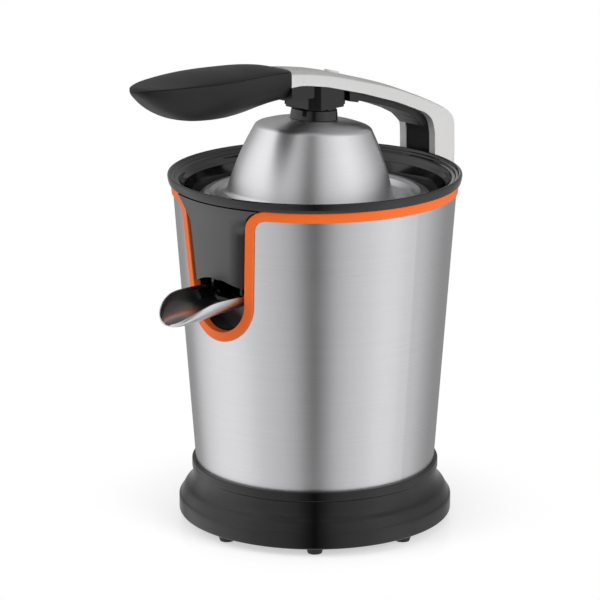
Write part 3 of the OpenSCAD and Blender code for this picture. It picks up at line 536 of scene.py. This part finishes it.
def makePanel():
    rows, columns = 44, 48
    lowest, highest, gap = rimShape["panelLow"], rimShape["panelHigh"], rimShape["panelGap"]
    grids = []
    for depth in (0.0, rimShape["panelThick"]):
        grid = []
        for i in range(rows + 1):
            row = []
            for k in range(columns + 1):
                # columns crowd towards the edges, where the panel rolls in
                s = 2 * k / columns - 1
                s = math.copysign(1 - (1 - abs(s)) ** 1.35, s)
                z = mix(lowest, highest, i / rows)
                x = s * openingHalf(z, gap)
                if abs(x) < rimShape["archHalf"]:
                    z = mix(max(rimShape["archLow"], outletArch(x)), highest, i / rows)
                half = openingHalf(z, gap)
                x = s * half
                edge = half - abs(x)
                roll = rimShape["panelRoll"] if x > 0 else rimShape["panelRollLeft"]
                fall = max(0.0, 1 - edge / roll[0])
                proud = rimShape["panelProud"] - roll[1] * fall ** 2.0
                flare = max(0.0, (z - rimShape["flareFrom"]) / (highest - rimShape["flareFrom"]))
                flare = flare * flare * (3 - 2 * flare)
                radius = casingRadius(z) + proud * (1 - flare) - depth
                radius = mix(radius, rimShape["radius"] - rimShape["flareIn"] - depth, flare)
                row.append((x, -math.sqrt(radius ** 2 - x * x), z))
            grid.append(row)
        grids.append(grid)
    verts = [p for grid in grids for row in grid for p in row]
    wide = columns + 1
    layer = (rows + 1) * wide
    faces = []
    for i in range(rows):
        for k in range(columns):
            a = i * wide + k
            faces.append((a, a + 1, a + wide + 1, a + wide))
            faces.append((layer + a, layer + a + wide, layer + a + wide + 1, layer + a + 1))
    border = list(range(wide)) + [i * wide + columns for i in range(1, rows + 1)]
    border += [rows * wide + k for k in range(columns - 1, -1, -1)]
    border += [i * wide for i in range(rows - 1, 0, -1)]
    for a, b in zip(border, border[1:] + border[:1]):
        faces.append((a, a + layer, b + layer, b))
    buildPiece("frontPanel", verts, faces, "panel", "body", ["rim"], 40)


makeRim()
makePanel()
print("rim and front panel made")

# orange trim: one closed strip round the opening and round the back
trimShape = {
    "width": 6.3,
    "proud": 1.0,
    "round": 0.55,
    "lipDepth": 3.6,
    "lipWidth": 1.3,
}


def trimPath():
    # centre line: across the front as X and height, then round the back at one height
    g = trimShape["width"] / 2
    low, high = openingShape["sideLow"], openingShape["sideHigh"]
    narrow, wide = openingShape["halfLow"], openingShape["halfHigh"]
    side = []
    for k in range(25):
        a = pi * 0.5 * k / 24
        side.append(((narrow + g) * math.sin(a), low - (narrow + g) * math.cos(a)))
    for k in range(1, 21):
        side.append((mix(narrow, wide, k / 20) + g, mix(low, high, k / 20)))
    r = openingShape["shoulderRadius"] - g
    for k in range(1, 17):
        a = pi * 0.5 * k / 16
        side.append((openingShape["shoulderX"] - r * math.cos(a), high + r * math.sin(a)))
    top = high + r
    points = []
    for x, z in side:
        points.append((math.asin(x / casingRadius(z)), z))
    start = points[-1][0]
    back = 96
    for k in range(1, back + 1):
        points.append((mix(start, pi, k / back), top))
    left = [(-a, z) for a, z in reversed(points[1:-1])]
    return points + left


def onCasing(turn, z):
    # a point on the casing, turned from the front
    return Vector((casingRadius(z) * math.sin(turn), -casingRadius(z) * math.cos(turn), z))


def makeTrim():
    w, h, r = trimShape["width"] / 2, trimShape["proud"], trimShape["round"]
    section = roundCorners([(-w, 0.05), (-w, h), (w, h), (w, 0.05)], [0, r * 1.3, r * 1.3, 0], 4, False)
    lip, depth = trimShape["lipWidth"], trimShape["lipDepth"]
    section += [(-w + lip, 0.05), (-w + lip, -depth), (-w, -depth)]
    path = trimPath()
    centres = [onCasing(a, z) for a, z in path]
    loops = []
    count = len(path)
    for i, (a, z) in enumerate(path):
        along = (centres[(i + 1) % count] - centres[i - 1]).normalized()
        out = Vector((math.sin(a), -math.cos(a), -casing["slope"])).normalized()
        across = along.cross(out).normalized()
        loop = []
        for s, up in section:
            loop.append(tuple(centres[i] + across * s + out * up))
        loops.append(loop)
    verts, faces = loftMesh(loops, closed=True)
    buildPiece("orangeTrim", verts, faces, "orange", "body", ["trim"], 40)


makeTrim()
print("trim made")

# press dome
domeShape = {
    "radius": 55.5,
    "sheet": 1.2,
    # measured in from the dome's radius
    "profile": [(0, 215.2), (0, 216.0), (-1.3, 217.0), (-1.9, 218), (-4.4, 227), (-8, 238),
                (-12.4, 249), (-17, 258.6)],
    "shoulder": [(-18.1, 260.5), (-19.6, 261.6), (-22, 262.5), (-30.5, 264.6), (-46.4, 266)],
}


def makeDome():
    r, sheet = domeShape["radius"], domeShape["sheet"]
    side = [(r + x, z) for x, z in domeShape["profile"]]
    crest = [(r + x, z) for x, z in domeShape["shoulder"]]
    outer = side[:3] + smoothPath(side[3:] + crest, 6)
    inner = [(p[0] - sheet, p[1]) for p in side] + [(p[0] - 0.4, p[1] - sheet) for p in crest]
    verts, faces = revolve(outer + list(reversed(inner)), 180)
    buildPiece("pressDome", verts, faces, "dome", "press", ["press_dome"], 50, True)


makeDome()
print("dome made")

# grip: two halves that meet at a crease; rows are y, top, crease, bottom, half width
gripShape = {
    "rows": [(-154.3, 304.6, 303.8, 303.1, 2.4), (-152.8, 305.2, 304.4, 301.0, 5.6),
             (-149.4, 305.8, 304.9, 297.9, 9.1), (-143.9, 306.0, 305.2, 293.3, 12.6),
             (-136.4, 306.2, 305.4, 288.4, 16.2), (-126.2, 306.8, 305.4, 283.8, 19.6),
             (-114.1, 307.8, 305.2, 280.9, 22.5), (-101, 308.5, 305.0, 279.5, 24),
             (-88, 308.8, 304.7, 279.1, 23.6), (-74, 308.6, 304.3, 279.8, 21.6),
             (-60, 308.0, 303.7, 281.4, 19), (-47, 306.3, 302.9, 282.6, 16.9),
             (-36.7, 303.8, 301.8, 283.1, 16.0), (-26, 300.9, 299.6, 283.6, 15.8)],
    "creaseGap": 0.35,
    "topBulge": 1.1,
    "bottomBulge": 0.8,
    "jointRadius": 25.1,
    "jointCentre": -56.3,
    "jointLimit": -36.9,
    "jointHalf": 15.8,
    "lowerEnd": -36.4,
    "tipEase": 1.12,
    "armEase": 0.92,
}


def gripRow(y, table):
    for a, b in zip(table, table[1:]):
        if y <= b[0]:
            t = (y - a[0]) / (b[0] - a[0])
            return [mix(p, q, max(t, 0)) for p, q in zip(a, b)]
    return list(table[-1])


def jointY(x):
    # the end of the grip bulges forward in an arc into the arm
    r = gripShape["jointRadius"]
    return max(gripShape["jointCentre"] + math.sqrt(max(r * r - x * x, 0)), gripShape["jointLimit"])


def easedRow(t):
    # rows stand closer at the tip; the two formulas meet half way along
    tip, arm = gripShape["tipEase"], gripShape["armEase"]
    if t > 0.5:
        return 1 - (1 - t) ** arm
    return t ** tip * 0.5 ** (1 - tip) * (1 - 0.5 ** arm) / 0.5


def makeGripHalf(name, upper, node):
    table = smoothPath(gripShape["rows"], 8)
    across, along = 36, 84
    power = gripShape["topBulge"] if upper else gripShape["bottomBulge"]
    gap = gripShape["creaseGap"] / 2 * (1 if upper else -1)
    loops = []
    for i in range(along + 1):
        t = easedRow(i / along)
        loop = []
        for k in range(across + 1):
            a = pi * k / across
            c, s = math.cos(a), max(math.sin(a), 0.0)
            wide = math.copysign(abs(c) ** power, c)
            end = jointY(gripShape["jointHalf"] * wide) if upper else gripShape["lowerEnd"]
            y = mix(gripShape["rows"][0][0], end, t)
            row = gripRow(y, table)
            middle = row[2] + gap
            far = row[1] if upper else row[3]
            loop.append((row[4] * wide, y, middle + (far - middle) * s ** power))
        for k in range(1, 6):
            x = mix(loop[across][0], loop[0][0], k / 6)
            loop.append((x, mix(loop[across][1], loop[0][1], k / 6), loop[0][2]))
        loops.append(loop)
    verts, faces = loftMesh(loops)
    buildPiece(name, verts, faces, "grip_black", "arm", [node], 50)


makeGripHalf("gripUpper", True, "grip_top")
makeGripHalf("gripLower", False, "grip_bottom")
print("grip made")

# arm: a channel that opens downwards, crowned on top; lines are y, height
armShape = {
    "top": [(-36.7, 301.3), (-19.7, 298.8), (-2.6, 295.7), (14.7, 291.4), (28.8, 287.6), (43.2, 283.6),
            (57.8, 279.1), (72.3, 273.8), (87.1, 267.9), (101.9, 261.3), (109.3, 257.2), (113.8, 252.9),
            (115.6, 248.2), (115.9, 242), (115.9, 222), (112.48, 207)],
    "under": [(-36.7, 292.5), (-26.5, 292.4), (-12.9, 290.2), (-2.6, 288.1), (11.3, 284.4), (28.8, 279.7),
              (43, 275.2), (57.9, 270.5), (72.5, 264.9), (87.4, 258.7), (92.6, 254.1), (95, 248.8),
              (96.2, 243.5), (96.4, 233), (96.4, 220), (96.48, 207)],
    "halfWidth": 16.0,
    "channel": 10.8,
    "crown": 2.3,
    "sheet": 4.0,
    "edgeRound": 1.3,
    "endRadius": 8.0,
    "endRows": 8,
    # the crown fades out over these rows before the end, down to the least
    "crownRows": 22,
    "crownLeast": 0.15,
    "crownLine": ((12.5, 0.5), (8.5, 0.8), (4, 1.0), (0, 1.04)),
    # the front rows are drawn out to the arc where the grip begins
    "jointRadius": 25.6,
    "jointHalf": 15.9,
    "blendRows": 14,
    "blendDrop": 0.16,
}


def resample(points, count):
    dense = smoothPath(points, 12)
    lengths = [0.0]
    for a, b in zip(dense, dense[1:]):
        lengths.append(lengths[-1] + math.dist(a, b))
    out, j = [], 0
    for i in range(count + 1):
        want = lengths[-1] * i / count
        while j < len(lengths) - 2 and lengths[j + 1] < want:
            j += 1
        t = (want - lengths[j]) / max(lengths[j + 1] - lengths[j], 1e-9)
        out.append(tuple(mix(p, q, t) for p, q in zip(dense[j], dense[j + 1])))
    return out


def makeArm():
    # stations pair a point of the top line with one of the under line, bend with bend
    hw, inner, edge = armShape["halfWidth"], armShape["channel"], armShape["edgeRound"]
    top = resample(armShape["top"][:10], 60)[:-1] + resample(armShape["top"][9:14], 20)[:-1]
    top += resample(armShape["top"][13:], 16)
    under = resample(armShape["under"][:10], 60)[:-1] + resample(armShape["under"][9:13], 20)[:-1]
    under += resample(armShape["under"][12:], 16)
    loops = []
    stations = list(zip(top, under))
    radius, endRows = armShape["endRadius"], armShape["endRows"]
    for k in range(1, endRows + 1):
        a = pi / 2 * k / (endRows + 1)
        low = hingeAt[1] - radius * math.sin(a)
        stations.append(((hingeAt[0] + radius * math.cos(a), low), (hingeAt[0] - radius * math.cos(a), low)))
    count = len(stations)
    for i, (o, u) in enumerate(stations):
        o, u = Vector(o), Vector(u)
        way = (o - u).normalized()
        share = min(1.0, max(0.0, (count - endRows - i) / armShape["crownRows"]))
        crown = armShape["crown"] * share + armShape["crownLeast"]
        sheet = min(armShape["sheet"], (o - u).length * 0.45)
        profile = [(hw, -edge)]
        for a in range(5):
            t = pi / 2 * a / 4
            profile.append((hw - edge + edge * math.cos(t), -edge + edge * math.sin(t)))
        for x, lift in armShape["crownLine"]:
            profile.append((x, crown * lift))
        loop = [(hw, u.x, u.y)]
        for x, lift in profile:
            point = o + way * lift
            loop.append((x, point.x, point.y))
        loop += [(-x, y, z) for x, y, z in reversed(loop[:-1])]
        ceiling = o - way * sheet
        loop += [(-inner, u.x, u.y), (-inner, ceiling.x, ceiling.y), (inner, ceiling.x, ceiling.y),
                 (inner, u.x, u.y)]
        loops.append(loop)
    # the front end follows the arc of the grip
    joint, blend = armShape["jointRadius"], armShape["blendRows"]
    front = armShape["top"][0][0]
    for i, loop in enumerate(loops[:blend]):
        weight = 1 - i / blend
        for k, (x, y, z) in enumerate(loop):
            across = min(abs(x), armShape["jointHalf"])
            arc = gripShape["jointCentre"] + math.sqrt(joint ** 2 - across ** 2)
            shift = (arc - front) * weight
            loop[k] = (x, y + shift, z - shift * armShape["blendDrop"])
    verts, faces = loftMesh(loops)
    buildPiece("armShell", verts, faces, "arm_silver", "arm", ["arm_shell"], 32)


makeArm()
print("arm made")

# spout: rows along the trough are y from its pin, edge height, bottom height, half width
spoutShape = {
    "pinY": -77.009,
    "rows": [(1, 165.4, 156.6, 20.5), (-3, 166.4, 156.2, 20.5), (-11, 167.0, 155.6, 20.5),
             (-21, 167.2, 154.8, 20.4), (-29, 166.9, 154.0, 20.0), (-35, 165.6, 153.3, 19.0),
             (-40.8, 163.0, 152.8, 17.2),
             (-45.6, 160.0, 152.4, 14.4), (-49.2, 157.4, 152.2, 11.0), (-51.3, 155.4, 152.3, 7.4),
             (-52.3, 154.0, 152.5, 3.6)],
    "sheet": 0.95,
    "bulge": 0.75,
}


def makeSpout():
    rows = smoothPath(spoutShape["rows"], 6)
    sheet, power = spoutShape["sheet"], spoutShape["bulge"]
    across = 32
    loops = []
    for y, edge, bottom, half in rows:
        loop = []
        for k in range(across + 1):
            a = pi + pi * k / across
            c, s = math.cos(a), math.sin(a)
            x = half * math.copysign(abs(c) ** power, c)
            loop.append((x, spoutShape["pinY"] + y, edge + (edge - bottom) * s))
        thin = min(sheet, half * 0.3)
        lift = min(sheet, (edge - bottom) * 0.45)
        loop.append((half - thin * 0.5, loop[0][1], edge + 0.25))
        for k in range(across, -1, -1):
            a = pi + pi * k / across
            c, s = math.cos(a), math.sin(a)
            loop.append(((half - thin) * math.copysign(abs(c) ** power, c), loop[0][1],
                         edge + (edge - bottom - lift) * s))
        loop.append((-half + thin * 0.5, loop[0][1], edge + 0.25))
        loops.append(loop)
    verts, faces = loftMesh(loops)
    buildPiece("pouringSpout", verts, faces, "steel_polished", "spout", ["spout"], 60)


makeSpout()
print("spout made")


# camera
def aroundCamera(turn, rise, reach):
    # a point seen from the machine's middle, turned to the right of the camera
    angle = math.radians(studio["azimuth"] + turn)
    up = math.radians(rise)
    flat = math.cos(up) * reach
    height = studio["aimHeight"] + math.sin(up) * reach
    return Vector((math.sin(angle) * flat, axisY - math.cos(angle) * flat, height))


aim = Vector((0, axisY, studio["aimHeight"]))
cameraData = bpy.data.cameras.new("studioCamera")
camera = bpy.data.objects.new("studioCamera", cameraData)
bpy.context.scene.collection.objects.link(camera)
camera.location = aroundCamera(0, studio["elevation"], studio["distance"])
camera.rotation_mode = "QUATERNION"
camera.rotation_quaternion = (aim - camera.location).to_track_quat("-Z", "Y")
cameraData.lens = studio["lens"]
cameraData.sensor_width = 36
cameraData.shift_x = studio["shiftX"]
bpy.context.scene.camera = camera


def addSoftbox(name, turn, rise, reach, size, power):
    light = bpy.data.lights.new(name, "AREA")
    light.shape = "RECTANGLE"
    light.size, light.size_y = size
    light.energy = power
    lamp = bpy.data.objects.new(name, light)
    lamp.location = aroundCamera(turn, rise, reach)
    lamp.rotation_mode = "QUATERNION"
    lamp.rotation_quaternion = (aim - lamp.location).to_track_quat("-Z", "Y")
    lamp.visible_glossy = False
    bpy.context.scene.collection.objects.link(lamp)


addSoftbox("leftSoftbox", -70, 22, 1.3, (0.9, 1.2), studio["keyPower"])
addSoftbox("rightSoftbox", 50, 12, 1.3, (0.8, 1.0), studio["fillPower"])
addSoftbox("topSoftbox", 10, 78, 1.3, (1.2, 1.2), studio["topPower"])


# world: plain white behind everything, softer where it only lights
world = bpy.data.worlds.new("whiteStudio")
bpy.context.scene.world = world
world.use_nodes = True
tree = world.node_tree
backdrop = tree.nodes["Background"]
backdrop.inputs["Color"].default_value = (1, 1, 1, 1)
ray = addNode(tree, "ShaderNodeLightPath")
direct = mathNode(tree, "ADD", ray.outputs["Is Camera Ray"], ray.outputs["Is Glossy Ray"])
seen = mathNode(tree, "ADD", direct, ray.outputs["Is Transmission Ray"], True)
tree.links.new(spanValue(tree, seen, studio["ambient"], 1.0), backdrop.inputs["Strength"])


def makeTent():
    # a tent of light and dark cloth that only the glossy surfaces see
    radius, bottom, top = studio["tentRadius"], studio["tentLow"], studio["tentHigh"]
    count = 96
    verts, faces = [], []
    rows = [(radius, bottom), (radius, top), (radius * 0.6, top + 0.5), (0.02, top + studio["tentRoof"])]
    for r, z in rows:
        for k in range(count):
            a = 2 * pi * k / count
            verts.append((r * math.cos(a), axisY + r * math.sin(a), z))
    for row in range(len(rows) - 1):
        for k in range(count):
            a, b = row * count + k, row * count + (k + 1) % count
            faces.append((a, b, b + count, a + count))
    mesh = bpy.data.meshes.new("lightTent")
    mesh.from_pydata(verts, [], faces)
    tent = bpy.data.objects.new("lightTent", mesh)
    bpy.context.scene.collection.objects.link(tent)
    material = bpy.data.materials.new("tentCloth")
    material.use_nodes = True
    tree = material.node_tree
    tree.nodes.clear()
    place = addNode(tree, "ShaderNodeTexCoord")
    turned = addNode(tree, "ShaderNodeMapping")
    turned.inputs["Location"].default_value = (0, -axisY, 0)
    aimed = addNode(tree, "ShaderNodeMapping")
    aimed.inputs["Rotation"].default_value = (0, 0, math.radians(90 - studio["azimuth"]))
    tree.links.new(place.outputs["Object"], turned.inputs["Vector"])
    tree.links.new(turned.outputs[0], aimed.inputs["Vector"])
    split = addNode(tree, "ShaderNodeSeparateXYZ")
    tree.links.new(aimed.outputs[0], split.inputs[0])
    angle = mathNode(tree, "ARCTAN2", split.outputs["Y"], split.outputs["X"])
    turn = mathNode(tree, "ADD", mathNode(tree, "MULTIPLY", angle, 0.5 / pi), 0.5)
    # the ramp takes levels up to one, so the strength is divided out and multiplied back
    level = rampNode(tree, turn, [((a + 180) / 360, v / studio["tentStrength"]) for a, v in tentBands])
    height = addNode(tree, "ShaderNodeMapRange")
    height.inputs["From Min"].default_value = studio["tentLow"]
    height.inputs["From Max"].default_value = studio["tentHigh"] + studio["tentRoof"]
    tree.links.new(split.outputs["Z"], height.inputs["Value"])
    fall = rampNode(tree, height.outputs["Result"], tentLevels)
    rise = mathNode(tree, "MULTIPLY", fall.outputs[0], studio["tentStrength"])
    glow = addNode(tree, "ShaderNodeEmission")
    tree.links.new(level.outputs[0], glow.inputs["Color"])
    tree.links.new(rise, glow.inputs["Strength"])
    out = addNode(tree, "ShaderNodeOutputMaterial")
    tree.links.new(glow.outputs[0], out.inputs["Surface"])
    mesh.materials.append(material)
    for flag in ("visible_camera", "visible_diffuse", "visible_shadow", "visible_transmission"):
        setattr(tent, flag, False)


makeTent()


def makeFloor():
    radius = studio["floorRadius"]
    mesh = bpy.data.meshes.new("studioFloor")
    build = bmesh.new()
    bmesh.ops.create_circle(build, cap_ends=True, segments=96, radius=radius)
    build.to_mesh(mesh)
    build.free()
    floor = bpy.data.objects.new("studioFloor", mesh)
    floor.location = (0, axisY, -0.0004)
    bpy.context.scene.collection.objects.link(floor)
    material, tree, shader = startMaterial("paleFloor", {"Base Color": (0.9, 0.9, 0.9, 1), "Roughness": 0.16,
                                                         "Specular IOR Level": 0.22})
    patches = useGroup(tree, smudgeGroup, Scale=3.0, Sharpness=1.0)
    tree.links.new(spanValue(tree, patches.outputs["Mask"], 0.12, 0.2), shader.inputs["Roughness"])
    # near the machine the floor keeps its shadow; further out it fades into the white behind
    place = addNode(tree, "ShaderNodeTexCoord")
    length = addNode(tree, "ShaderNodeVectorMath", operation="LENGTH")
    tree.links.new(place.outputs["Object"], length.inputs[0])
    fade = addNode(tree, "ShaderNodeMapRange", interpolation_type="SMOOTHSTEP")
    fade.inputs["From Min"].default_value = studio["shadowFrom"]
    fade.inputs["From Max"].default_value = studio["shadowReach"]
    tree.links.new(length.outputs["Value"], fade.inputs["Value"])
    ray = addNode(tree, "ShaderNodeLightPath")
    far = mathNode(tree, "MULTIPLY", fade.outputs["Result"], ray.outputs["Is Camera Ray"])
    glow = addNode(tree, "ShaderNodeEmission")
    tree.links.new(mathNode(tree, "MULTIPLY", ray.outputs["Is Camera Ray"], studio["floorGlow"]),
                   glow.inputs["Strength"])
    white = addNode(tree, "ShaderNodeEmission")
    white.inputs["Strength"].default_value = 1.0
    both = addNode(tree, "ShaderNodeAddShader")
    tree.links.new(shader.outputs[0], both.inputs[0])
    tree.links.new(glow.outputs[0], both.inputs[1])
    blend = addNode(tree, "ShaderNodeMixShader")
    tree.links.new(far, blend.inputs["Fac"])
    tree.links.new(both.outputs[0], blend.inputs[1])
    tree.links.new(white.outputs[0], blend.inputs[2])
    tree.links.new(blend.outputs[0], tree.nodes["Material Output"].inputs["Surface"])
    mesh.materials.append(material)
    floor.visible_glossy = False


makeFloor()
bpy.context.scene.view_settings.view_transform = "Standard"
print("studio ready")
